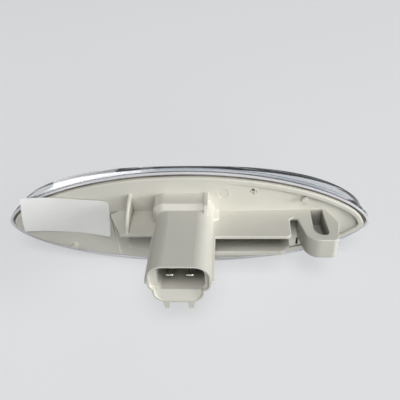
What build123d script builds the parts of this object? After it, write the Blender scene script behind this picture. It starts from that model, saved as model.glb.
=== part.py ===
from build123d import *
from math import cos, pi, sin
import os

# Side repeater lamp: a clear domed lens with a flange, a one-piece moulded
# housing that carries the plug shroud, and a wedge bulb with its terminals.
# Sizes are millimetres. Each piece is drawn lying on its lens, with x along the
# lamp, y up the lamp and z out of its back, and is stood upright at the end.

# Lens
lens_length = 116.0
upper_rise = 19.4
lower_rise = 17.4
lens_depth = 14.5
lens_wall = 2.0
lens_draft = 0.9
crown_radius = 20.5
bow_radius = 255.0
flange_thickness = 2.4
flange_step = 0.8
rim_width = 0.9
rim_round = 0.3

# Bead between lens and housing
groove_width = 0.9
bead_thickness = 0.5
bead_seat = 1.2
bead_recess = 0.4

# Housing plate
lip_height = 0.6
lip_width = 1.7
lip_round = 0.35
seat_depth = 0.9
plate_depth = 2.2
plate_clearance = 0.3
recess_start = 12.0
recess_depth = 1.5
pad_end = -23.7
pad_lean = 4.3
pad_high = 10.0
pad_height = 0.7
pad_margin = 1.2
peg_diameter = 1.9
peg_height = 1.3
right_peg_x = 37.2
right_peg_y = 9.3
left_peg_x = -37.4
left_peg_y = -8.9
vent_diameter = 1.0
vent_x = 21.3
vent_y = 12.8
mark_diameter = 3.2
mark_depth = 0.12
mark_x = 12.1
mark_y = 11.8
slit_width = 0.7
slit_height = 2.8
slit_depth = 0.8
slit_x = 35.9
slit_y = -8.2

# Upper shelf
shelf_y = 5.0
shelf_thickness = 0.9
shelf_depth = 12.9
shelf_end = 32.4
shelf_corner = 1.6
shelf_round = 0.3
wing_depth = 12.2
wing_start = -23.4
wing_tip = -18.8
wing_shoulder = 2.6
wing_gap_length = 2.0
wing_gap_depth = 1.4
notch_floor = 4.0
notch_width = 2.7

# Lower ledge
ledge_y = -2.0
ledge_thickness = 1.0
ledge_depth = 11.7
ledge_lip = 1.5
ledge_lip_width = 1.2
ledge_chamfer = 2.6

# Fixing lug
lug_width = 12.1
lug_depth = 14.5
lug_lean = 2.2
lug_taper = 1.4
lug_height = 7.3
lug_wall = 0.9
lug_corner = 1.6
lug_nose = 4.5
lug_round = 0.9
hook_reach = 3.3
hook_depth = 6.3
hook_round = 0.6
slot_x = 39.1
slot_width = 3.7
slot_depth = 12.1
slot_lean = 0.9
slot_round = 3.0
slot_corner = 1.3

# Plug shroud
plug_x = 0.4
plug_depth = 31.4
plug_width = 17.4
plug_top = 10.6
plug_waist = 1.2
plug_shoulder = 4.5
plug_hip = 2.4
chin_x = 0.0
chin_width = 14.4
chin_bottom = -3.0
chin_round = 3.8
fin_reach = 0.8
fin_corner = 0.7
rail_width = 2.3
rail_foot = 1.2
rail_drop = 2.4
rail_spacing = 6.9
rail_length = 12.0
catch_width = 3.6
catch_height = 1.4
catch_length = 4.0
catch_setback = 3.0

# Plug socket
socket_left = 6.3
socket_right = 7.1
socket_floor = 0.8
socket_roof = 9.9
socket_end = 15.0
socket_key_corner = 1.2
socket_round = 3.8
socket_foot = 2.6
mouth_rim = 0.5
mouth_step = 1.2

# Collar at the root of the shroud
collar_margin = 1.0
collar_rise = 1.5
collar_depth = 7.4
collar_corner = 3.5
collar_chamfer = 1.4

# Ribs
rib_thickness = 1.1
rib_x = -16.8
rib_top = 11.7
rib_bulge = 1.4
rib_round = 0.4
buttress_x = 7.0
buttress_depth = 9.0
buttress_rise = 0.3
buttress_drop = 1.5
wedge_end = 10.8
wedge_depth = 6.2
wedge_nose = 1.2
wedge_high = 2.4
wedge_low = 0.4

# Core pocket under the left wing
core_left = -19.6
core_right = -9.6
core_floor = -7.4
core_bottom = -11.0
core_depth = 2.6
core_wall = 0.8

# Bulb and its well
bulb_y = 2.8
bulb_diameter = 9.0
bulb_wall = 0.6
bulb_front = -10.2
bulb_neck = 1.2
pinch_width = 8.6
pinch_thickness = 2.2
pinch_length = 5.0
well_diameter = 10.2
well_end = 11.6
filament_span = 3.6
filament_z = -3.6
wire_diameter = 0.5

# Terminals
terminal_pitch = 5.6
terminal_width = 2.2
terminal_thickness = 0.7
terminal_tip = 28.3
terminal_point = 0.5
terminal_grip = 4.4

# Reflector
reflector_clearance = 0.5
reflector_wall = 0.8
reflector_rim = 1.2
reflector_front = -5.8
reflector_slope = 9.0
bulb_gap = 0.5

# Paper label
label_width = 28.8
label_height = 13.6
label_slant = 1.6
label_corner = 2.2
label_turn = -4.0
label_end_gap = 5.6
label_y = 3.5
label_thickness = 0.16

# Outline: an ellipse, fuller above than below, whose ends are drawn out to a blunt point
upper_taper = 1.25
lower_taper = 1.15
outline_points = 24

# Insets, levels and places that follow from the sizes above
housing_inset = rim_width + groove_width
inner_inset = housing_inset + bead_seat + plate_clearance
cavity_inset = flange_step + lens_wall
reflector_inset = cavity_inset + lens_draft + reflector_clearance
bead_depth = seat_depth + bead_thickness
pad_top = lip_height + pad_height
shelf_under = shelf_y - shelf_thickness
notch_radius = notch_width / 2
notch_centre = notch_floor + notch_radius
lug_start = shelf_end + notch_width
lug_end = lug_start + lug_width
plug_left = plug_x - plug_width / 2
plug_right = plug_x + plug_width / 2
collar_top = plug_top + collar_rise
core_back = core_depth + core_wall
pinch_start = well_end - pinch_length
terminal_y = bulb_y + (pinch_thickness + terminal_thickness) / 2
label_x = label_end_gap + (label_width - lens_length) / 2
root = -seat_depth
out = (0, 0, 1)
far = lens_length
lens_end = lens_length / 2
crown_y = (upper_rise - lower_rise) / 2


def edge_height(slope, inset):
    """How far the outline lies above its tips, or below them, for the sine of a turn."""
    if slope > 0:
        return (upper_rise - inset) * slope ** upper_taper
    return (inset - lower_rise) * (-slope) ** lower_taper


def outline(inset, level):
    """The lamp's almond outline, drawn in from the lens edge, at a height above the seat."""
    reach = lens_end - inset
    turns = [2 * pi * step / outline_points for step in range(outline_points)]
    edge = [(reach * cos(turn), edge_height(sin(turn), inset)) for turn in turns]
    return Pos(0, 0, level) * make_face(Spline(*edge, periodic=True))


def slab(inset, bottom, top):
    """A plate of the lamp's outline between two heights."""
    return extrude(outline(inset, bottom), top - bottom, dir=out)


def block(left, right, low, high, bottom, top):
    """A box given by its faces along, up and out of the lamp."""
    section = Pos((left + right) / 2, (low + high) / 2, bottom) * Rectangle(right - left, high - low)
    return extrude(section, top - bottom, dir=out)


def across(points, low, high):
    """A prism with its section drawn along the lamp and out of its back."""
    section = make_face(Polyline(*[(x, 0, z) for x, z in points], close=True))
    return Pos(0, low, 0) * extrude(section, high - low, dir=(0, 1, 0))


def rib(points, middle, thickness):
    """A rib with its side drawn up the lamp and out of its back."""
    side = make_face(Polyline(*[(0, y, z) for y, z in points], close=True))
    return Pos(middle - thickness / 2, 0, 0) * extrude(side, thickness, dir=(1, 0, 0))


def domed(inset, crown):
    """The lens form: leaning side walls closed by a front that is curved both ways."""
    walls = loft([outline(inset, 0), outline(inset + lens_draft, -lens_depth)])
    ring = Rot(90, 0, 0) * Torus(bow_radius - crown_radius, crown)
    front = Pos(0, crown_y, bow_radius - lens_depth) * ring
    return walls & front


def make_lens():
    flange = slab(0, -flange_thickness, 0)
    flange = fillet(flange.edges().group_by(Axis.Z)[-1], rim_round)
    shell = domed(flange_step, crown_radius) + flange
    shell -= domed(cavity_inset, crown_radius - lens_wall)
    return shell - slab(rim_width, -bead_depth, 0)


def make_bead():
    ring = slab(rim_width, -bead_depth, -bead_recess) - slab(housing_inset, -seat_depth, 0)
    return ring - slab(housing_inset + bead_seat, -bead_depth, 0)


def plate_with_lip():
    border = slab(housing_inset, -seat_depth, lip_height)
    border = fillet(border.edges().group_by(Axis.Z)[-1], lip_round)
    floor = lip_height - recess_depth
    dip = across([(recess_start, lip_height), (far, lip_height), (lens_end, floor)], -far, far)
    plate = border + slab(inner_inset, -plate_depth, 0)
    plate -= slab(housing_inset + lip_width, floor, lip_height) & dip
    left_end = Rot(0, 0, pad_lean) * block(-far, pad_end, -far, pad_high, 0, far)
    pad = slab(housing_inset + pad_margin, 0, pad_top) & left_end
    pegs = [
        Pos(x, y, root) * extrude(Circle(peg_diameter / 2), height - root, dir=out)
        for x, y, height in (
            (right_peg_x, right_peg_y, peg_height),
            (left_peg_x, left_peg_y, pad_top + peg_height),
        )
    ]
    mark = Pos(mark_x, mark_y, lip_height - mark_depth) * extrude(Circle(mark_diameter / 2), far, dir=out)
    return plate + pad + pegs - mark


def upper_shelf():
    wing = across(
        [(wing_start, root), (wing_start, wing_shoulder), (wing_tip, wing_depth), (plug_x, wing_depth),
         (plug_x, root)],
        shelf_under, shelf_y,
    )
    gap_end = lip_height + wing_gap_depth
    wing -= across(
        [(wing_start, lip_height), (wing_start, gap_end), (wing_start + wing_gap_length, lip_height)],
        shelf_under, shelf_y,
    )
    right = block(plug_x, shelf_end, shelf_under, shelf_y, root, shelf_depth)
    tip = right.edges().filter_by(Axis.Y).sort_by(Axis.X)[-2:].sort_by(Axis.Z)[-1]
    bridge = block(shelf_end, lug_start, shelf_under, shelf_y, root, notch_centre)
    notch = Pos(shelf_end + notch_radius, shelf_y, notch_centre) * Rot(90, 0, 0)
    bridge -= notch * extrude(Circle(notch_radius), shelf_thickness)
    return wing + fillet(tip, shelf_corner) + bridge


def lower_ledge():
    """A ledge with a rim that hangs down along its front, its cut corner and its end."""
    corner = shelf_end - ledge_chamfer
    plan = [
        (plug_x, root), (plug_x, ledge_depth), (corner, ledge_depth),
        (shelf_end, ledge_depth - ledge_chamfer), (shelf_end, root),
    ]
    low = ledge_y - ledge_lip
    hollow = across(plan, low, ledge_y - ledge_thickness)
    return across(plan, low, ledge_y) - Pos(-ledge_lip_width, 0, -ledge_lip_width) * hollow


def fixing_lug():
    """A hook that leans away from the notch and overhangs its foot."""
    foot = lug_end - hook_reach
    low = shelf_y - lug_height
    lug = across(
        [(lug_start, root), (lug_start, notch_centre), (lug_start + lug_lean, lug_depth),
         (lug_end - lug_taper, lug_depth), (lug_end, hook_depth), (foot, 0), (foot, root)],
        low, shelf_y,
    )
    hook = lug.edges().filter_by(Axis.Y).sort_by(Axis.X)[-1]
    lug = fillet(hook, hook_round)
    for side, size in ((-1, lug_corner), (0, lug_nose)):
        front = lug.edges().filter_by(Axis.Y).group_by(Axis.Z)[-1].sort_by(Axis.X)[side]
        lug = fillet(front, size)
    underside = lug.faces().sort_by(Axis.Y)[0]
    return fillet([edge for edge in underside.edges() if edge.center().Z > 0], lug_round)


def lug_slot():
    """The slot that cores the lug from above."""
    slot_end = slot_x + slot_width
    slot = across(
        [(slot_x, 0), (slot_end, 0), (slot_end + slot_lean, slot_depth), (slot_x, slot_depth)],
        shelf_y - lug_height + lug_wall, shelf_y,
    )
    near_notch = slot.edges().filter_by(Axis.Y).group_by(Axis.Z)[-1].sort_by(Axis.X)[0]
    slot = fillet(near_notch, slot_round)
    tip = slot.edges().filter_by(Axis.Y).sort_by(Axis.X)[-1]
    return fillet(tip, slot_corner)


def deck():
    """The shelf and the lug, whose tops make one face with a softened edge."""
    whole = upper_shelf() + fixing_lug()
    top = whole.faces().sort_by(Axis.Y)[-1]
    return fillet([edge for edge in top.edges() if edge.center().Z > lip_height], shelf_round)


def shroud_section():
    """The shroud from its end: a rounded body with a narrower chin below it."""
    middle = (plug_top + plug_waist) / 2
    body = Pos(plug_x, middle) * Rectangle(plug_width, plug_top - plug_waist)
    body = fillet(body.vertices().group_by(Axis.Y)[-1], plug_shoulder)
    body = fillet(body.vertices().group_by(Axis.Y)[0], plug_hip)
    chin = Pos(chin_x, (chin_bottom + middle) / 2) * Rectangle(chin_width, middle - chin_bottom)
    chin = fillet(chin.vertices().group_by(Axis.Y)[0], chin_round)
    return body + chin


def plug_shroud():
    shroud = extrude(shroud_section(), plug_depth, dir=out)
    fins = block(plug_left - fin_reach, plug_right + fin_reach, shelf_under, shelf_y, 0, plug_depth)
    fins = fillet(fins.edges().filter_by(Axis.Y).group_by(Axis.Z)[-1], fin_corner)
    shroud += fins
    rail_start = plug_depth - rail_length
    chin_top = chin_bottom + plug_waist
    for side in (-1, 1):
        x = chin_x + side * rail_spacing / 2
        foot = chin_bottom - rail_drop
        rail = make_face(Polyline(
            (x - rail_width / 2, chin_top), (x - rail_foot / 2, foot), (x + rail_foot / 2, foot),
            (x + rail_width / 2, chin_top), close=True,
        ))
        shroud += Pos(0, 0, rail_start) * extrude(rail, rail_length, dir=out)
    catch_front = plug_depth - catch_setback
    catch_back = catch_front - catch_length
    shroud += rib(
        [(chin_top, catch_back), (chin_bottom - catch_height, catch_back), (chin_bottom, catch_front),
         (chin_top, catch_front)],
        chin_x, catch_width,
    )
    return shroud


def plug_socket():
    """The hole for the plug, with a step round its mouth that slopes down into the chin."""
    width = socket_left + socket_right
    mouth = Pos(plug_x + (socket_right - socket_left) / 2, (socket_floor + socket_roof) / 2, socket_end)
    mouth *= Rectangle(width, socket_roof - socket_floor)
    corners = mouth.vertices().sort_by(Axis.X)
    mouth = fillet(corners[:2], socket_key_corner)
    right = mouth.vertices().sort_by(Axis.X)[-2:].sort_by(Axis.Y)
    mouth = fillet(right[1], socket_round)
    lowest = mouth.vertices().group_by(Axis.Y)[0].sort_by(Axis.X)[-1]
    mouth = fillet(lowest, socket_foot)
    hole = extrude(mouth, plug_depth - socket_end, dir=out)
    brink = plug_depth - mouth_step
    step = Pos(0, 0, brink) * extrude(offset(shroud_section(), -mouth_rim), mouth_step, dir=out)
    slope = rib(
        [(chin_bottom + mouth_rim, plug_depth), (socket_floor, brink), (plug_top, brink),
         (plug_top, plug_depth)],
        plug_x, plug_width,
    )
    return hole + (step & slope)


def root_collar():
    left = plug_left - collar_margin
    collar = block(left, buttress_x, shelf_under, collar_top, root, collar_depth)
    upper_left = collar.edges().filter_by(Axis.Z).sort_by(Axis.X)[:2].sort_by(Axis.Y)[-1]
    collar = fillet(upper_left, collar_corner)
    front = collar.faces().sort_by(Axis.Z)[-1]
    lower = front.edges().sort_by(Axis.Y)[0]
    right = front.edges().sort_by(Axis.X)[-1]
    return chamfer([edge for edge in front.edges() if edge not in (lower, right)], collar_chamfer)


def stiffening_ribs():
    middle = ((shelf_y + rib_top) / 2 + rib_bulge, wing_depth / 2 + rib_bulge)
    arc = ThreePointArc((0, rib_top, 0), (0, *middle), (0, shelf_under, wing_depth))
    side = make_face([arc, Polyline((0, shelf_under, wing_depth), (0, shelf_under, 0), (0, rib_top, 0))])
    upper = Pos(rib_x - rib_thickness / 2, 0, 0) * extrude(side, rib_thickness, dir=(1, 0, 0))
    upper = fillet(upper.edges().filter_by(GeomType.CIRCLE), rib_round)
    crest = collar_top + buttress_rise
    shoulder = plug_top - buttress_drop
    buttress = rib(
        [(shelf_y, 0), (crest, 0), (crest, collar_depth), (shoulder, buttress_depth),
         (shelf_y, buttress_depth)],
        buttress_x, rib_thickness,
    )
    nose = (buttress_x + wedge_end) / 2
    ramp = make_face(Polyline(
        (buttress_x, shelf_under), (wedge_end, shelf_under), (wedge_end, shelf_y + wedge_low),
        (buttress_x, shelf_y + wedge_high), close=True,
    ))
    wedge = extrude(ramp, wedge_depth, dir=out) & across(
        [(buttress_x, 0), (wedge_end, 0), (wedge_end, wedge_depth - wedge_nose), (nose, wedge_depth),
         (buttress_x, wedge_depth - wedge_nose)],
        -far, far,
    )
    return upper + buttress + wedge


def core_pocket():
    cup = block(core_left - core_wall, core_right + core_wall, (core_floor + core_bottom) / 2, shelf_y,
                -core_back, 0)
    middle = (core_left + core_right) / 2
    hollow = rib(
        [(shelf_under, lip_height), (shelf_under, -core_depth), (core_floor, -core_depth),
         (core_bottom, lip_height)],
        middle, core_right - core_left,
    )
    return cup, hollow


def terminal(side):
    """A flat blade that lies on the bulb's pinch and runs out into the socket."""
    x = plug_x + side * terminal_pitch / 2
    low = terminal_y - terminal_thickness / 2
    blade = block(x - terminal_width / 2, x + terminal_width / 2, low, low + terminal_thickness,
                  well_end - terminal_grip, terminal_tip)
    point = blade.edges().filter_by(Axis.Y).group_by(Axis.Z)[-1]
    return chamfer(point, terminal_point)


def make_housing():
    cup, hollow = core_pocket()
    housing = plate_with_lip() + cup + deck() + lower_ledge() + plug_shroud()
    housing += root_collar()
    housing += stiffening_ribs()
    well = Pos(plug_x, bulb_y, -far) * extrude(Circle(well_diameter / 2), far + well_end, dir=out)
    vent = Pos(vent_x, vent_y, -far) * extrude(Circle(vent_diameter / 2), 2 * far, dir=out)
    slit = block(slit_x - slit_width / 2, slit_x + slit_width / 2, slit_y - slit_height / 2,
                 slit_y + slit_height / 2, lip_height - recess_depth - slit_depth, far)
    slit &= block(-far, far, -far, far, -plate_depth, lip_height)
    return housing - [lug_slot(), hollow, plug_socket(), well, vent, slit, terminal(-1), terminal(1)]


def make_bulb():
    radius = bulb_diameter / 2
    inner = radius - bulb_wall

    def capsule(r, end):
        centre = bulb_front + radius
        tube = Pos(0, 0, centre) * extrude(Circle(r), end - centre, dir=out)
        return tube + Pos(0, 0, centre) * Sphere(r)

    glass = capsule(radius, pinch_start) - capsule(inner, pinch_start - bulb_neck)
    glass += block(-pinch_width / 2, pinch_width / 2, -pinch_thickness / 2, pinch_thickness / 2,
                   pinch_start, well_end)
    return Pos(plug_x, bulb_y, 0) * glass


def make_filament():
    span = filament_span / 2
    arch = ThreePointArc((-span, 0, filament_z), (0, 0, filament_z - span), (span, 0, filament_z))
    section = Pos(-span, 0, filament_z) * Circle(wire_diameter / 2)
    return Pos(plug_x, bulb_y, 0) * sweep(section, arch)


def make_wires():
    length = pinch_start - bulb_neck - filament_z
    wire = extrude(Circle(wire_diameter / 2), length, dir=out)
    span = filament_span / 2
    return [Pos(plug_x + side * span, bulb_y, filament_z) * wire for side in (-1, 1)]


def make_reflector():
    back = -core_back
    skirt = slab(reflector_inset, reflector_front, -plate_depth)
    skirt -= slab(reflector_inset + reflector_wall, back, -plate_depth)
    dish = loft([
        outline(reflector_inset + reflector_rim, reflector_front),
        outline(reflector_inset + reflector_slope, back - reflector_wall),
    ])
    hole = Pos(plug_x, bulb_y, -far) * extrude(Circle(bulb_diameter / 2 + bulb_gap), far, dir=out)
    return skirt - dish - hole


def make_label():
    right = label_width / 2
    high = label_height / 2
    sheet = make_face(Polyline(
        (-right, -high), (right, -high), (right, high), (label_slant - right, high), close=True,
    ))
    sheet = fillet(sheet.vertices().group_by(Axis.X)[-1].sort_by(Axis.Y)[-1], label_corner)
    return Pos(label_x, label_y, pad_top) * Rot(0, 0, label_turn) * extrude(sheet, label_thickness, dir=out)


left_wire, right_wire = make_wires()
pieces = {
    "lens": make_lens(),
    "housing": make_housing(),
    "seal_bead": make_bead(),
    "reflector": make_reflector(),
    "bulb_glass": make_bulb(),
    "filament": make_filament(),
    "left_lead_wire": left_wire,
    "right_lead_wire": right_wire,
    "left_terminal": terminal(-1),
    "right_terminal": terminal(1),
    "paper_label": make_label(),
}
stand_up = Rot(90, 0, 0)
os.makedirs("parts", exist_ok=True)
for name, piece in pieces.items():
    export_step(stand_up * piece, f"parts/{name}.step")
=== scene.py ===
# %% [markdown]
# A side repeater lamp, upright as on the car and seen from its back.
#
# The lamp's solids are already modelled to size, so this lesson loads them as a fixed frame and
# dresses them: each piece gets the finish of its real material, and the thin or soft pieces that
# solids can't show well are modelled again here. Everything is in metres, with +X along the lamp
# towards its fixing lug, +Y out through the lens and +Z up.

# %% Load the frame
from math import atan2, cos, pi, radians, sin, sqrt
import bmesh
import bpy
from mathutils import Matrix, Vector, noise


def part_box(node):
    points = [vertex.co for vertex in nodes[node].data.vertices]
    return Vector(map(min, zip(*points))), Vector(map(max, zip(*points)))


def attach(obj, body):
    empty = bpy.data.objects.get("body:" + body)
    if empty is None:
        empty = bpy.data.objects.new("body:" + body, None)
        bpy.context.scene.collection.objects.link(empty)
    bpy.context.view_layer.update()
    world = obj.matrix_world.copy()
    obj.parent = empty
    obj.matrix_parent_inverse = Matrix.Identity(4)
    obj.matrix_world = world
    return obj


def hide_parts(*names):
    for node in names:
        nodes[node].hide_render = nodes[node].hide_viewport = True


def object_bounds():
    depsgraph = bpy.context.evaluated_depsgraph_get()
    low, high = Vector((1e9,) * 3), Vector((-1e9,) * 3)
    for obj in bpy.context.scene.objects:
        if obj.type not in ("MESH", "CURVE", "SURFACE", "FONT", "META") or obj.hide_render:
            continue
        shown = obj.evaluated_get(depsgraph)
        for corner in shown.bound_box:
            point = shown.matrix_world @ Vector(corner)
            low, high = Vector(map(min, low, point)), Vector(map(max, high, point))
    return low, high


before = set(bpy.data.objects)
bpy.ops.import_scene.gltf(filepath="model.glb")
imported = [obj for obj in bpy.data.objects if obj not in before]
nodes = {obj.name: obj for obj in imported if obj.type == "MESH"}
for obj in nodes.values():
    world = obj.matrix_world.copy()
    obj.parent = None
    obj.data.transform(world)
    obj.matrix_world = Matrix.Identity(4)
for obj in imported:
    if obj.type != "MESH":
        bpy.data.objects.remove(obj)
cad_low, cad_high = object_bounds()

MM = 0.001


def sides(low, high):
    """The three sides of a box in millimetres, for printing."""
    return [round((b - a) / MM, 1) for a, b in zip(low, high)]


print("loaded", len(nodes), "solids,", sides(cad_low, cad_high), "mm")

# %% [markdown]
# The camera stands where the picture was taken: above the plug and a little to its right. A camera
# can be aimed by typing angles, but a place and a point to look at are easier to check against a
# picture. The roll is the small tilt of a hand-held shot. The lens follows from how many pixels
# one unit of slope covers in a square picture of 400 pixels.

# %% Camera
PICTURE = 400
SENSOR = 36.0
PIXELS_PER_SLOPE = 534.93
camera_place = Vector((15.19, -132.50, 109.71)) * MM
camera_aim = Vector((4.88, 0.0, 8.87)) * MM
camera_roll = radians(-2.92)

camera_data = bpy.data.cameras.new("camera")
camera_data.sensor_width = SENSOR
camera_data.lens = SENSOR * PIXELS_PER_SLOPE / PICTURE
camera_data.clip_start = 1 * MM
camera = bpy.data.objects.new("camera", camera_data)
camera.rotation_mode = "QUATERNION"
camera.location = camera_place
look = (camera_place - camera_aim).to_track_quat("Z", "Y")
camera.rotation_quaternion = look @ Matrix.Rotation(camera_roll, 3, "Z").to_quaternion()
bpy.context.scene.collection.objects.link(camera)
bpy.context.scene.camera = camera
print("lens", round(camera_data.lens, 2), "mm at", round((camera_place - camera_aim).length / MM), "mm")

# %% [markdown]
# Colours are written as the hex values that a picture editor shows. Blender's shaders count in
# linear light, so one function turns the sRGB curve back. A second function adds any node: its
# kind, its settings, and what is linked into it. With these two, a material reads as a short list.

# %% Helpers for finishes


def linear(hex_colour):
    """An sRGB hex colour as the linear values that shaders use."""
    values = [int(hex_colour[i:i + 2], 16) / 255 for i in (1, 3, 5)]
    return (*[v / 12.92 if v <= 0.04045 else ((v + 0.055) / 1.055) ** 2.4 for v in values], 1.0)


def add(tree, kind, inputs=None, **settings):
    """Adds a node; an input that is given a socket is linked to it, and any other is set."""
    made = tree.nodes.new(kind)
    for name, value in settings.items():
        setattr(made, name, value)
    for name, value in (inputs or {}).items():
        if isinstance(value, bpy.types.NodeSocket):
            tree.links.new(value, made.inputs[name])
        else:
            made.inputs[name].default_value = value
    return made


def finish_named(name):
    """A new material with its node tree and its main shader."""
    material = bpy.data.materials.new(name)
    material.use_nodes = True
    return material, material.node_tree, material.node_tree.nodes["Principled BSDF"]


def dress(piece, material):
    """Gives the whole piece one finish."""
    piece.data.materials.clear()
    piece.data.materials.append(material)


print("helpers ready, mid grey is", round(linear("#808080")[0], 3), "in linear light")

# %% [markdown]
# The housing is ABS, injection moulded in a light warm grey. A mould that was spark-eroded leaves
# a fine even grain, which makes the sheen soft. The grain is really about 0.1 mm; it is drawn at
# 0.6 mm so that it shows at this distance. A slower noise shifts the colour a little, as flow and
# handling do. The mould's edges are never sharp, so a Bevel node rounds the shading of each edge by
# a fifth of a millimetre, on top of the rounds that the solid has.

# %% Moulded ABS
DRIFT = 14 * MM
GRAIN, GRAIN_DEPTH = 0.6 * MM, 0.05 * MM
EDGE_ROUND = 0.2 * MM

moulded_abs, tree, shader = finish_named("moulded_abs_light_grey")
place = add(tree, "ShaderNodeTexCoord").outputs["Object"]
drift = add(tree, "ShaderNodeTexNoise", {"Vector": place, "Scale": 1 / DRIFT, "Detail": 3.0})
tone = add(tree, "ShaderNodeValToRGB", {"Fac": drift.outputs["Fac"]})
tone.color_ramp.elements[0].color = linear("#D3D1C6")
tone.color_ramp.elements[1].color = linear("#DDDBD1")
grain = add(tree, "ShaderNodeTexNoise", {"Vector": place, "Scale": 1 / GRAIN, "Detail": 2.0})
edges = add(tree, "ShaderNodeBevel", {"Radius": EDGE_ROUND}, samples=6)
relief = add(tree, "ShaderNodeBump", {
    "Height": grain.outputs["Fac"], "Normal": edges.outputs["Normal"],
    "Strength": 0.12, "Distance": GRAIN_DEPTH,
})
tree.links.new(relief.outputs["Normal"], shader.inputs["Normal"])
shader.inputs["Roughness"].default_value = 0.46
shader.inputs["IOR"].default_value = 1.53
dress(nodes["housing"], moulded_abs)
print("housing is", moulded_abs.name)

# %% [markdown]
# Two marks are painted into the moulding's colour. Where the Bevel node's bent shading leaves the true
# face there is an edge, and there the colour is made paler: a painted highlight along each edge, together
# with wear from handling. An Ambient Occlusion node looks for walls of the housing within 20 mm of each
# point, and only where it is shut in almost all round is the colour darkened: painted shade in the deep
# hollows.

# %% Painted edge highlights and painted shade in hollows
EDGE_STARTS, EDGE_FULL = 0.97, 0.78
# How pale the painted edge highlight, with its wear, gets at most.
MOST_EDGE_HIGHLIGHT_AND_WEAR = 0.8
HOLLOW = 20 * MM
SHUT_IN, OPEN = 0.05, 0.3
# How dark the painted shade in the most shut-in hollows gets.
DARKEST_PAINTED_SHADE = 0.2

true_face = add(tree, "ShaderNodeNewGeometry").outputs["True Normal"]
bend = add(tree, "ShaderNodeVectorMath", {
    0: edges.outputs["Normal"], 1: true_face,
}, operation="DOT_PRODUCT")
# Painted highlight and wear: the colour is made paler along each edge.
edge_highlight_and_wear = add(tree, "ShaderNodeMapRange", {
    "Value": bend.outputs["Value"], "From Min": EDGE_STARTS, "From Max": EDGE_FULL,
    "To Min": 0.0, "To Max": MOST_EDGE_HIGHLIGHT_AND_WEAR,
})
highlighted_and_worn = add(tree, "ShaderNodeMixRGB", {
    "Fac": edge_highlight_and_wear.outputs["Result"], "Color1": tone.outputs["Color"], "Color2": linear("#F6F4EC"),
})
openness = add(tree, "ShaderNodeAmbientOcclusion", {"Distance": HOLLOW}, samples=8, only_local=True)
# Painted shade: the colour is darkened where the housing is shut in all round.
painted_shade = add(tree, "ShaderNodeMapRange", {
    "Value": openness.outputs["AO"], "From Min": SHUT_IN, "From Max": OPEN,
    "To Min": DARKEST_PAINTED_SHADE, "To Max": 1.0,
})
shaded_colour = add(tree, "ShaderNodeVectorMath", {
    0: highlighted_and_worn.outputs["Color"], "Scale": painted_shade.outputs["Result"],
}, operation="SCALE")
tree.links.new(shaded_colour.outputs["Vector"], shader.inputs["Base Color"])
print(moulded_abs.name, "has", len(tree.nodes), "nodes")

# %% [markdown]
# The lens is one clear moulding: an almond-shaped flange, a dome that stands on it, and a wall of
# even thickness. The solid has all of that, but its facets are coarse for something that bends
# light, so the lens is drawn again on the same sizes. All of it follows one outline. An ellipse is
# too blunt at its tips for that, so the height is a power of the sine, one for each half.

# %% Almond outline
lens_low, lens_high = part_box("lens")
reach, depth = (lens_high.x - lens_low.x) / 2, lens_high.y
UPPER_TAPER, LOWER_TAPER = 1.25, 1.15


def almond(turn, inset):
    """A point of the lamp's outline, drawn in by an inset, at a turn round its middle."""
    slope = sin(turn)
    if slope > 0:
        height = (lens_high.z - inset) * slope ** UPPER_TAPER
    else:
        height = (lens_low.z + inset) * (-slope) ** LOWER_TAPER
    return Vector(((reach - inset) * cos(turn), 0.0, height))


print("outline", round(2 * reach / MM, 1), "mm long, dome", round(depth / MM, 1), "mm deep")

# %% [markdown]
# A piece that runs round the lamp starts as one circle of points, which are moved onto the outline.
# Each further ring is extruded from the last one and moved to its own place. Every point keeps its
# turn round the middle in a layer, which the extrude operator passes on, so a ring's place can be
# a rule: it is told the turn and gives the spot.

# %% Rings
RING_POINTS = 192
SHARP_EDGE = radians(35)


def first_ring(mesh, place):
    """A closed ring of points; place gives the spot of each from its turn."""
    turn_of = mesh.verts.layers.float.new("turn")
    for vert in bmesh.ops.create_circle(mesh, radius=1.0, segments=RING_POINTS)["verts"]:
        vert[turn_of] = atan2(vert.co.y, vert.co.x)
        vert.co = place(vert[turn_of])
    return mesh.edges[:]


def next_ring(mesh, ring, place):
    """Extrudes a ring and moves the new one to its place."""
    turn_of = mesh.verts.layers.float["turn"]
    made = bmesh.ops.extrude_edge_only(mesh, edges=ring)["geom"]
    points = {part for part in made if isinstance(part, bmesh.types.BMVert)}
    for vert in points:
        vert.co = place(vert[turn_of])
    lines = [part for part in made if isinstance(part, bmesh.types.BMEdge)]
    return [line for line in lines if points.issuperset(line.verts)]


def level_ring(inset, out):
    """The place rule of a ring at one inset and one distance out from the seat."""
    return lambda turn: almond(turn, inset) + Vector((0.0, out, 0.0))


def keep_piece(mesh, name, *finishes):
    """Turns a finished bmesh into an object that rides on the lamp's body."""
    data = bpy.data.meshes.new(name)
    mesh.to_mesh(data)
    mesh.free()
    for finish in finishes:
        data.materials.append(finish)
    for face in data.polygons:
        face.use_smooth = True
    data.set_sharp_from_angle(angle=SHARP_EDGE)
    piece = bpy.data.objects.new(name, data)
    bpy.context.scene.collection.objects.link(piece)
    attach(piece, "root")
    return piece


print("rings have", RING_POINTS, "points")

# %% [markdown]
# The lens is acrylic. Its dome is polished in the mould, so it bends light cleanly (IOR 1.49) and
# has hardly any colour of its own; handling has left a few dull scuffs on it. The back of the flange
# is different: it is where the lens was held and pressed on its seal, so it is satin and catches
# the light as a pale band all round.

# %% Acrylic finishes
SCUFF = 8.0 * MM
SATIN = 0.5 * MM

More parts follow.
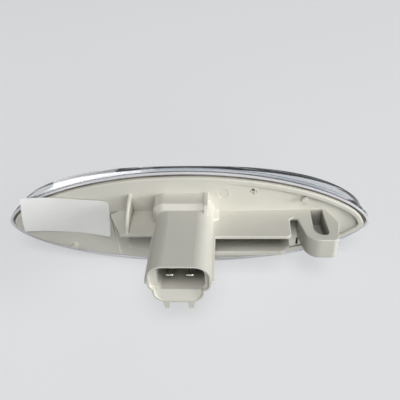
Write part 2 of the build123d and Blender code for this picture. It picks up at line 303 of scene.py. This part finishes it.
clear_acrylic, tree, shader = finish_named("clear_acrylic")
place = add(tree, "ShaderNodeTexCoord").outputs["Object"]
scuffs = add(tree, "ShaderNodeTexNoise", {"Vector": place, "Scale": 1 / SCUFF, "Detail": 5.0})
rough = add(tree, "ShaderNodeMapRange", {
    "Value": scuffs.outputs["Fac"], "From Min": 0.45, "From Max": 0.75, "To Min": 0.02, "To Max": 0.09,
})
tree.links.new(rough.outputs["Result"], shader.inputs["Roughness"])
shader.inputs["Base Color"].default_value = linear("#F4F5F7")
shader.inputs["Transmission Weight"].default_value = 1.0
shader.inputs["IOR"].default_value = 1.49

satin_acrylic, tree, shader = finish_named("satin_acrylic_edge")
place = add(tree, "ShaderNodeTexCoord").outputs["Object"]
rub = add(tree, "ShaderNodeTexNoise", {"Vector": place, "Scale": 1 / SATIN, "Detail": 2.0})
rough = add(tree, "ShaderNodeMapRange", {"Value": rub.outputs["Fac"], "To Min": 0.22, "To Max": 0.42})
tree.links.new(rough.outputs["Result"], shader.inputs["Roughness"])
shader.inputs["Base Color"].default_value = linear("#E9E7EA")
shader.inputs["Transmission Weight"].default_value = 0.4
shader.inputs["IOR"].default_value = 1.49
print("lens finishes:", clear_acrylic.name, satin_acrylic.name)

# %% [markdown]
# The dome has a leaning wall, which ends where it meets the front. The front is curved both ways, as
# a patch of a very large ring would be. The hollow inside is the same dome again, one wall
# thickness further in, so the rules for both are written once, with their inset and crown to fill in.

# %% Dome rules
LENS_DRAFT = 0.9 * MM
CROWN_RADIUS, BOW_RADIUS = 20.5 * MM, 255.0 * MM
CROWN = Vector((0.0, 0.0, (lens_low.z + lens_high.z) / 2))
WALL_RINGS, FRONT_RINGS = 3, 14
SETTLING_ROUNDS = 6


def front_at(place, crown):
    """How far out the curved front lies over a place on the lens."""
    ring = BOW_RADIUS - CROWN_RADIUS + sqrt(crown ** 2 - (place.z - CROWN.z) ** 2)
    return sqrt(ring ** 2 - place.x ** 2) - (BOW_RADIUS - depth)


def wall_end(turn, inset, crown):
    """The point where the leaning wall meets the front; a few rounds settle it."""
    out = depth / 2
    for _ in range(SETTLING_ROUNDS):
        edge = almond(turn, inset + LENS_DRAFT * out / depth)
        out = front_at(edge, crown)
    return Vector((edge.x, out, edge.z))


def dome_wall(inset, crown, start, share):
    """The place rule of a ring that share of the way from a start level to the front."""
    def place(turn):
        out = start + (wall_end(turn, inset, crown).y - start) * share
        return almond(turn, inset + LENS_DRAFT * out / depth) + Vector((0.0, out, 0.0))
    return place


def dome_front(inset, crown, share):
    """The place rule of a ring on the front, that share of the way out from its middle."""
    def place(turn):
        spot = CROWN.lerp(wall_end(turn, inset, crown), share)
        return Vector((spot.x, front_at(spot, crown), spot.z))
    return place


def add_dome(mesh, ring, inset, crown, start):
    """Extrudes a dome's wall and front from a ring, and closes it at its middle."""
    for step in range(WALL_RINGS + 1):
        ring = next_ring(mesh, ring, dome_wall(inset, crown, start, step / WALL_RINGS))
    for step in range(1, FRONT_RINGS):
        ring = next_ring(mesh, ring, dome_front(inset, crown, 1 - step / FRONT_RINGS))
    ring = next_ring(mesh, ring, dome_front(inset, crown, 0.0))
    middle = list({vert for edge in ring for vert in edge.verts})
    bmesh.ops.pointmerge(mesh, verts=middle, merge_co=middle[0].co)


print("a dome has", WALL_RINGS, "steps of wall and", FRONT_RINGS, "of front")

# %% [markdown]
# Seen from behind, the lens is a rim 0.9 mm wide round a seat for the bead. One row of rings goes
# from the seat over the rounded rim, along the flange's edge and over the outer dome. A second row
# starts at the seat again and makes the hollow, which closes the shell. The rim alone is satin.

# %% Clear lens
RIM_WIDTH, RIM_ROUND, RIM_STEPS = 0.9 * MM, 0.3 * MM, 4
SEAT_DEPTH = 1.4 * MM
FLANGE_THICKNESS, FLANGE_STEP = 2.4 * MM, 0.8 * MM
LENS_WALL = 2.0 * MM
CLEAR_FACE, SATIN_FACE = 0, 1

shell = bmesh.new()
seat_edge = first_ring(shell, level_ring(RIM_WIDTH, SEAT_DEPTH))
ring = next_ring(shell, seat_edge, level_ring(RIM_WIDTH, RIM_ROUND / 2))
faces_before_rim = len(shell.faces)
ring = next_ring(shell, ring, level_ring(RIM_WIDTH - RIM_ROUND / 2, 0.0))
for step in range(RIM_STEPS + 1):
    turn = pi / 2 * step / RIM_STEPS
    ring = next_ring(shell, ring, level_ring(RIM_ROUND * (1 - sin(turn)), RIM_ROUND * (1 - cos(turn))))
shell.faces.ensure_lookup_table()
for face in shell.faces[faces_before_rim:]:
    face.material_index = SATIN_FACE
ring = next_ring(shell, ring, level_ring(0.0, FLANGE_THICKNESS))
for face in shell.faces[-RING_POINTS:]:
    face.material_index = CLEAR_FACE
add_dome(shell, ring, FLANGE_STEP, CROWN_RADIUS, FLANGE_THICKNESS)
add_dome(shell, seat_edge, FLANGE_STEP + LENS_WALL, CROWN_RADIUS - LENS_WALL, SEAT_DEPTH)
bmesh.ops.recalc_face_normals(shell, faces=shell.faces)
clear_lens = keep_piece(shell, "clear_lens", clear_acrylic, satin_acrylic)
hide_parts("lens")
print("lens has", len(clear_lens.data.polygons), "faces")

# %% [markdown]
# A bead of butyl seals the lens to the housing. Butyl is soft and slightly oily, dark, with a low
# sheen, and it greys where it picks up dust. A slow noise sets the dust and a finer one the lumps.

# %% Butyl sealant
LUMP, LUMP_DEPTH = 1.4 * MM, 0.2 * MM
DUST = 7.0 * MM

butyl_sealant, tree, shader = finish_named("butyl_sealant")
place = add(tree, "ShaderNodeTexCoord").outputs["Object"]
lumps = add(tree, "ShaderNodeTexNoise", {"Vector": place, "Scale": 1 / LUMP, "Detail": 3.0})
dust = add(tree, "ShaderNodeTexNoise", {"Vector": place, "Scale": 1 / DUST, "Detail": 4.0})
tone = add(tree, "ShaderNodeValToRGB", {"Fac": dust.outputs["Fac"]})
tone.color_ramp.elements[0].position = 0.35
tone.color_ramp.elements[0].color = linear("#56514A")
tone.color_ramp.elements[1].position = 0.75
tone.color_ramp.elements[1].color = linear("#8E897F")
relief = add(tree, "ShaderNodeBump", {
    "Height": lumps.outputs["Fac"], "Strength": 0.6, "Distance": LUMP_DEPTH,
})
tree.links.new(tone.outputs["Color"], shader.inputs["Base Color"])
tree.links.new(relief.outputs["Normal"], shader.inputs["Normal"])
shader.inputs["Roughness"].default_value = 0.55
print("bead finish:", butyl_sealant.name)

# %% [markdown]
# The bead is pressed out of a nozzle and squeezed between lens and housing, so its open skin is
# never level. It could be a profile swept round the outline, but its inset and level differ on each
# side, so it is built from rings as the lens is: over the skin, which a noise raises and sinks by a
# few hundredths of a millimetre, and back under the housing. The last ring is bridged to the first.

# %% Sealing bead
housing_low, housing_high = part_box("housing")
HOUSING_INSET = (lens_high.x - lens_low.x - housing_high.x + housing_low.x) / 2
HOUSING_SEAT = 0.9 * MM
BEAD_SKIN, BEAD_CREST, BEAD_FOOT = 0.4 * MM, 0.12 * MM, 1.2 * MM
SKIN_STEPS = 5
UNEVEN = 0.05 * MM
HAIR = 0.02 * MM


def skin_ring(share):
    """The place rule of a ring on the bead's open skin, from the rim to the housing."""
    def place(turn):
        inset = RIM_WIDTH + HAIR + (HOUSING_INSET - RIM_WIDTH - 2 * HAIR) * share
        spot = almond(turn, inset)
        crest = BEAD_CREST * sin(pi * share) + UNEVEN * noise.noise(spot / LUMP)
        return spot + Vector((0.0, BEAD_SKIN + UNEVEN - crest, 0.0))
    return place


bead = bmesh.new()
under = first_ring(bead, level_ring(RIM_WIDTH + HAIR, SEAT_DEPTH - HAIR))
ring = under
for step in range(SKIN_STEPS + 1):
    ring = next_ring(bead, ring, skin_ring(step / SKIN_STEPS))
foot_inset = HOUSING_INSET + BEAD_FOOT - HAIR
for inset, out in (
    (HOUSING_INSET - HAIR, HOUSING_SEAT + HAIR),
    (foot_inset, HOUSING_SEAT + HAIR),
    (foot_inset, SEAT_DEPTH - HAIR),
):
    ring = next_ring(bead, ring, level_ring(inset, out))
bmesh.ops.bridge_loops(bead, edges=[*under, *ring])
bmesh.ops.recalc_face_normals(bead, faces=bead.faces)
sealing_bead = keep_piece(bead, "sealing_bead", butyl_sealant)
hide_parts("seal_bead")
print("bead has", len(sealing_bead.data.polygons), "faces")

# %% [markdown]
# The reflector is plastic with a skin of aluminium laid on in a vacuum: a mirror with a slight
# ripple from the plastic below.

# %% Metallised plastic
RIPPLE, RIPPLE_DEPTH = 3.0 * MM, 0.2 * MM

metallised, tree, shader = finish_named("vacuum_metallised_plastic")
place = add(tree, "ShaderNodeTexCoord").outputs["Object"]
ripple = add(tree, "ShaderNodeTexNoise", {"Vector": place, "Scale": 1 / RIPPLE})
relief = add(tree, "ShaderNodeBump", {
    "Height": ripple.outputs["Fac"], "Strength": 0.1, "Distance": RIPPLE_DEPTH,
})
tree.links.new(relief.outputs["Normal"], shader.inputs["Normal"])
shader.inputs["Base Color"].default_value = linear("#E6E8EA")
shader.inputs["Metallic"].default_value = 1.0
shader.inputs["Roughness"].default_value = 0.16
dress(nodes["reflector"], metallised)
print("reflector is", metallised.name)

# %% [markdown]
# The pins are brass with a tin coat, rolled to strip, so their sheen is drawn out along the pin. A
# Mapping node stretches the noise ten times that way. The bulb's wires are drawn nickel, a little
# duller and greyer. Both noises only move the roughness, because bare metal has one colour.

# %% Rolled and drawn metal
ROLLING = 0.4 * MM
ROLLING_STRETCH = (1.0, 0.1, 1.0)

tinned_brass, tree, shader = finish_named("tinned_brass")
place = add(tree, "ShaderNodeTexCoord").outputs["Object"]
stretch = add(tree, "ShaderNodeMapping", {"Vector": place, "Scale": ROLLING_STRETCH})
rolled = add(tree, "ShaderNodeTexNoise", {"Vector": stretch.outputs["Vector"], "Scale": 1 / ROLLING})
rough = add(tree, "ShaderNodeMapRange", {"Value": rolled.outputs["Fac"], "To Min": 0.18, "To Max": 0.38})
tree.links.new(rough.outputs["Result"], shader.inputs["Roughness"])
shader.inputs["Base Color"].default_value = linear("#D8D3C4")
shader.inputs["Metallic"].default_value = 1.0

drawn_wire, tree, shader = finish_named("drawn_nickel_wire")
place = add(tree, "ShaderNodeTexCoord").outputs["Object"]
scratch = add(tree, "ShaderNodeTexNoise", {"Vector": place, "Scale": 1 / ROLLING})
rough = add(tree, "ShaderNodeMapRange", {"Value": scratch.outputs["Fac"], "To Min": 0.25, "To Max": 0.45})
tree.links.new(rough.outputs["Result"], shader.inputs["Roughness"])
shader.inputs["Base Color"].default_value = linear("#B9B4AB")
shader.inputs["Metallic"].default_value = 1.0

for wire in ("left_lead_wire", "right_lead_wire", "filament"):
    dress(nodes[wire], drawn_wire)
print("metals:", tinned_brass.name, drawn_wire.name)

# %% [markdown]
# The two pins are cut from rolled strip, and their tips are pressed to a blunt round so that they
# slip into the plug's contacts. A pin starts as a box of its own size, and the four edges of its
# tip are bevelled almost to the middle, which leaves the small glint that a real tip has.

# %% Pins
PIN_TIP, TIP_STEPS = 0.32 * MM, 3

for pin in ("left_terminal", "right_terminal"):
    pin_low, pin_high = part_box(pin)
    bar = bmesh.new()
    bmesh.ops.create_cube(bar, size=1.0)
    bmesh.ops.scale(bar, vec=pin_high - pin_low, verts=bar.verts)
    bmesh.ops.translate(bar, vec=(pin_low + pin_high) / 2, verts=bar.verts)
    tip = [edge for edge in bar.edges if max(vert.co.y for vert in edge.verts) < pin_low.y + PIN_TIP]
    bmesh.ops.bevel(
        bar, geom=tip, offset=PIN_TIP, affect="EDGES", segments=TIP_STEPS, profile=0.5, material=-1,
    )
    pressed_pin = keep_piece(bar, pin.replace("terminal", "pin"), tinned_brass)
    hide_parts(pin)
print("pin tips rounded by", PIN_TIP / MM, "mm")

# %% [markdown]
# A vent lets the lamp breathe. Its hole was opened with a hot pin, which scorched the plastic in
# specks. A noise as fine as the melted grit is cut by a steep ramp, so it gives specks, not clouds.

# %% Scorched plastic
GRIT = 0.5 * MM

scorched_abs, tree, shader = finish_named("scorched_abs")
place = add(tree, "ShaderNodeTexCoord").outputs["Object"]
grit = add(tree, "ShaderNodeTexNoise", {"Vector": place, "Scale": 1 / GRIT, "Detail": 1.0})
tone = add(tree, "ShaderNodeValToRGB", {"Fac": grit.outputs["Fac"]})
tone.color_ramp.elements[0].position = 0.46
tone.color_ramp.elements[0].color = linear("#3A352E")
tone.color_ramp.elements[1].position = 0.53
tone.color_ramp.elements[1].color = linear("#D6D4C9")
tree.links.new(tone.outputs["Color"], shader.inputs["Base Color"])
shader.inputs["Roughness"].default_value = 0.5
print("vent finish:", scorched_abs.name)

# %% [markdown]
# The hot pin also pushed up a rough ring of plastic, widest and highest on its lower side. The ring
# is a few circles round the hole, set on the plate where a ray meets it, and raised by a noise of
# the same grit. Its edges go down into the plate and are bridged there, so that the ring is closed.

# %% Vent burr
VENT_X, VENT_UP = 21.3 * MM, 12.8 * MM
BURR_INSIDE, BURR_OUTSIDE, BURR_HEIGHT = 0.55 * MM, 1.2 * MM, 0.3 * MM
BURR_SAG, BURR_ROOT = 0.5 * MM, 0.2 * MM
BURR_STEPS = 6

beside_vent = Vector((VENT_X + BURR_OUTSIDE, -housing_high.x, VENT_UP))
_, plate_spot, _, _ = nodes["housing"].ray_cast(beside_vent, Vector((0.0, 1.0, 0.0)))


def burr_ring(share, sunk):
    """The place rule of a circle on the burr, from the hole to its outside, sunk into the plate."""
    radius = BURR_INSIDE + (BURR_OUTSIDE - BURR_INSIDE) * share

    def place(turn):
        across = Vector((cos(turn), 0.0, sin(turn))) * radius
        across.z -= BURR_SAG * share
        lower_side = 0.5 - 0.5 * sin(turn)
        rise = BURR_HEIGHT * sin(pi * share) * lower_side * (0.5 + noise.noise(across / GRIT))
        return Vector((VENT_X, plate_spot.y + sunk - max(0.0, rise), VENT_UP)) + across
    return place


burr = bmesh.new()
hole_edge = first_ring(burr, burr_ring(0.0, BURR_ROOT))
ring = hole_edge
for step in range(BURR_STEPS + 1):
    ring = next_ring(burr, ring, burr_ring(step / BURR_STEPS, HAIR))
ring = next_ring(burr, ring, burr_ring(1.0, BURR_ROOT))
bmesh.ops.bridge_loops(burr, edges=[*hole_edge, *ring])
bmesh.ops.recalc_face_normals(burr, faces=burr.faces)
vent_burr = keep_piece(burr, "vent_burr", scorched_abs)
print("vent burr on the plate at", round(plate_spot.y / MM, 2), "mm")

# %% [markdown]
# The bulb is blown glass, coloured amber right through so that a clear lamp still flashes amber. It
# is blown from drawn tube, so its colour has faint streaks along it.

# %% Amber glass
STREAK = 2.5 * MM
STREAK_STRETCH = (1.0, 0.15, 1.0)

amber_glass, tree, shader = finish_named("amber_lamp_glass")
place = add(tree, "ShaderNodeTexCoord").outputs["Object"]
drawn = add(tree, "ShaderNodeMapping", {"Vector": place, "Scale": STREAK_STRETCH})
streaks = add(tree, "ShaderNodeTexNoise", {"Vector": drawn.outputs["Vector"], "Scale": 1 / STREAK})
tone = add(tree, "ShaderNodeValToRGB", {"Fac": streaks.outputs["Fac"]})
tone.color_ramp.elements[0].color = linear("#F29A30")
tone.color_ramp.elements[1].color = linear("#FBAC4A")
tree.links.new(tone.outputs["Color"], shader.inputs["Base Color"])
shader.inputs["Transmission Weight"].default_value = 1.0
shader.inputs["Roughness"].default_value = 0.02
shader.inputs["IOR"].default_value = 1.52
dress(nodes["bulb_glass"], amber_glass)
print("bulb is", amber_glass.name)

# %% [markdown]
# The paper label is a plain slip stuck on the left of the housing. Its lower corners are square and
# its upper right one is rounded. It starts as a grid, so that it can bend later, and the round is
# made by a few straight cuts, each of which clears what lies outside it.

# %% Label outline
LABEL_SIZE = Vector((27.9, 13.6)) * MM
LABEL_ROUND, ROUND_CUTS = 2.2 * MM, 6

sheet = bmesh.new()
bmesh.ops.create_grid(sheet, x_segments=56, y_segments=28, size=0.5)
bmesh.ops.scale(sheet, vec=(LABEL_SIZE.x, LABEL_SIZE.y, 1.0), verts=sheet.verts)
round_centre = Vector((LABEL_SIZE.x / 2 - LABEL_ROUND, LABEL_SIZE.y / 2 - LABEL_ROUND, 0.0))
for step in range(1, ROUND_CUTS):
    turn = pi / 2 * step / ROUND_CUTS
    outward = Vector((cos(turn), sin(turn), 0.0))
    bmesh.ops.bisect_plane(
        sheet, geom=[*sheet.verts, *sheet.edges, *sheet.faces],
        plane_co=round_centre + outward * LABEL_ROUND, plane_no=outward, clear_outer=True,
    )
print("label is", [round(side / MM, 1) for side in LABEL_SIZE], "mm flat")

# %% [markdown]
# A flat box would do for the label's weight, but real paper never lies flat: its free end stands off
# a little, its lower right corner lifts, and its hand-cut left edge bows. So each point is moved by
# a smooth curve of its place on the slip. Solidify then gives it the thickness of paper.

# %% Paper label
label_low, label_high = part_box("paper_label")
label_thickness = label_high.y - label_low.y
LABEL_RAISE = Vector((0.0, 0.0, 0.5)) * MM
LABEL_TURN = radians(-5.1)
LABEL_SLANT, EDGE_BOW = 0.6 * MM, 0.4 * MM
END_LIFT, END_SHARE, END_CURVE = 1.4 * MM, 0.45, 2
CORNER_LIFT, CORNER_SHARE, CORNER_CURVE = 1.1 * MM, (0.4, 0.55), 1.5
WAVE, WAVES_ALONG, WAVES_UP = 0.1 * MM, 1.5, 0.4

for vert in sheet.verts:
    along = vert.co.x / LABEL_SIZE.x + 0.5
    up = vert.co.y / LABEL_SIZE.y + 0.5
    end = max(0.0, 1 - along / END_SHARE)
    corner = max(0.0, 1 - (1 - along) / CORNER_SHARE[0]) * max(0.0, 1 - up / CORNER_SHARE[1])
    vert.co.x += (LABEL_SLANT * up - EDGE_BOW * sin(pi * up)) * (1 - along)
    vert.co.z = END_LIFT * end ** END_CURVE + CORNER_LIFT * corner ** CORNER_CURVE
    vert.co.z += WAVE * (0.5 - 0.5 * cos(2 * pi * (WAVES_ALONG * along + WAVES_UP * up)))
label_centre = (label_low + label_high) / 2 + LABEL_RAISE
seat = Matrix.Translation((label_centre.x, label_high.y, label_centre.z))
stand_up = Matrix.Rotation(pi / 2, 4, "X")
tilt = Matrix.Rotation(LABEL_TURN, 4, "Z")
bmesh.ops.transform(sheet, matrix=seat @ stand_up @ tilt, verts=sheet.verts)
bmesh.ops.recalc_face_normals(sheet, faces=sheet.faces)
bmesh.ops.solidify(sheet, geom=sheet.faces, thickness=label_thickness)
paper_slip = keep_piece(sheet, "paper_slip")
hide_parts("paper_label")
print("label has", len(paper_slip.data.polygons), "faces")

# %% [markdown]
# Paper is matte and slightly fibrous: short fibres about a millimetre long show as a faint mottle.

# %% Matte paper
FIBRE, FIBRE_DEPTH = 0.9 * MM, 0.06 * MM

matte_paper, tree, shader = finish_named("matte_paper")
place = add(tree, "ShaderNodeTexCoord").outputs["Object"]
fibres = add(tree, "ShaderNodeTexNoise", {"Vector": place, "Scale": 1 / FIBRE, "Detail": 4.0})
tone = add(tree, "ShaderNodeValToRGB", {"Fac": fibres.outputs["Fac"]})
tone.color_ramp.elements[0].color = linear("#F5F6F2")
tone.color_ramp.elements[1].color = linear("#FFFFFC")
relief = add(tree, "ShaderNodeBump", {
    "Height": fibres.outputs["Fac"], "Strength": 0.25, "Distance": FIBRE_DEPTH,
})
tree.links.new(tone.outputs["Color"], shader.inputs["Base Color"])
tree.links.new(relief.outputs["Normal"], shader.inputs["Normal"])
shader.inputs["Roughness"].default_value = 0.85
dress(paper_slip, matte_paper)
print("label is", matte_paper.name)

# %% [markdown]
# The stage is a plain pale floor just below the lens. Light that bounces off a pale floor would fill
# the hollows under the shelf, so the floor is pale only to the camera, in mirrors and through clear
# pieces, and dark to bounced light. Half of its paleness is a glow of its own, and its paint has no
# shine at all, which hides the bright pools under the low lights and still leaves the lamp its
# shadow.

# %% Floor
FLOOR_SIZE = 8.0
FLOOR_GAP = 0.1 * MM
FLOOR_GLOW = 0.5


def seen_directly(tree):
    """1 for rays from the camera, a mirror or a clear piece, 0 for the light that bounces about."""
    ray = add(tree, "ShaderNodeLightPath").outputs
    mirrored = add(tree, "ShaderNodeMath", {
        0: ray["Is Camera Ray"], 1: ray["Is Glossy Ray"],
    }, operation="MAXIMUM")
    clear = {0: mirrored.outputs["Value"], 1: ray["Is Transmission Ray"]}
    return add(tree, "ShaderNodeMath", clear, operation="MAXIMUM").outputs["Value"]


ground = bmesh.new()
bmesh.ops.create_grid(ground, x_segments=1, y_segments=1, size=FLOOR_SIZE / 2)
bmesh.ops.translate(ground, vec=(0, 0, cad_low.z - FLOOR_GAP), verts=ground.verts)
floor_mesh = bpy.data.meshes.new("floor")
ground.to_mesh(floor_mesh)
ground.free()
floor = bpy.data.objects.new("floor", floor_mesh)
bpy.context.scene.collection.objects.link(floor)

floor_paint, tree, shader = finish_named("matte_floor_paint")
seen = seen_directly(tree)
paint = add(tree, "ShaderNodeValToRGB", {"Fac": seen})
paint.color_ramp.elements[0].color = linear("#3C454D")
paint.color_ramp.elements[1].color = linear("#9FA3A7")
tree.links.new(paint.outputs["Color"], shader.inputs["Base Color"])
glow = add(tree, "ShaderNodeMath", {0: seen, 1: FLOOR_GLOW}, operation="MULTIPLY")
tree.links.new(glow.outputs["Value"], shader.inputs["Emission Strength"])
shader.inputs["Roughness"].default_value = 0.8
shader.inputs["Specular IOR Level"].default_value = 0.0
dress(floor, floor_paint)
print("floor at", round((cad_low.z - FLOOR_GAP) / MM, 2), "mm")

# %% [markdown]
# The surroundings follow the same rule as the floor: a pale backdrop wherever they are seen, and
# hardly any light from them on the lamp.

# %% Surroundings
AMBIENT, BACKDROP = 0.02, 0.7

world = bpy.data.worlds.new("studio")
world.use_nodes = True
backdrop = world.node_tree.nodes["Background"]
backdrop.inputs["Color"].default_value = linear("#DDE2E8")
level = add(world.node_tree, "ShaderNodeMapRange", {
    "Value": seen_directly(world.node_tree), "To Min": AMBIENT, "To Max": BACKDROP,
})
world.node_tree.links.new(level.outputs["Result"], backdrop.inputs["Strength"])
bpy.context.scene.world = world
print("backdrop at", BACKDROP, "and its light at", AMBIENT)

# %% [markdown]
# Five soft square lights stand round the lamp. A side key far to the right makes the right faces of
# the ribs and plug the brightest and throws the plug's soft shadow to the left. A front fill and a
# top light shape the rest, a weak fill keeps the left sides from going black, and one low light
# behind the lamp is for its lens. Each is placed by its angles round the lamp and above the floor,
# which are easier to read than a place.

# %% Soft lights
LIGHT_DISTANCE, LIGHT_SIZE = 1.50, 0.65


def softbox(name, azimuth, elevation, level):
    """A square soft light aimed at the lamp. At level 1 a facing colour renders as it is written."""
    data = bpy.data.lights.new(name, "AREA")
    data.size = LIGHT_SIZE
    data.energy = level * (pi * LIGHT_DISTANCE) ** 2
    light = bpy.data.objects.new(name, data)
    sideways, upwards = radians(azimuth), radians(elevation)
    aim = Vector((sin(sideways) * cos(upwards), -cos(sideways) * cos(upwards), sin(upwards)))
    light.location = aim * LIGHT_DISTANCE
    light.rotation_mode = "QUATERNION"
    light.rotation_quaternion = aim.to_track_quat("Z", "Y")
    bpy.context.scene.collection.objects.link(light)


softbox("side_key", azimuth=75, elevation=10, level=0.84)
softbox("front_fill", azimuth=25, elevation=10, level=0.34)
softbox("top_light", azimuth=10, elevation=58, level=0.42)
softbox("left_fill", azimuth=-70, elevation=10, level=0.16)
softbox("lens_light", azimuth=-155, elevation=9, level=0.15)
bpy.context.scene.view_settings.view_transform = "Standard"
print("lights:", len(bpy.data.lights))
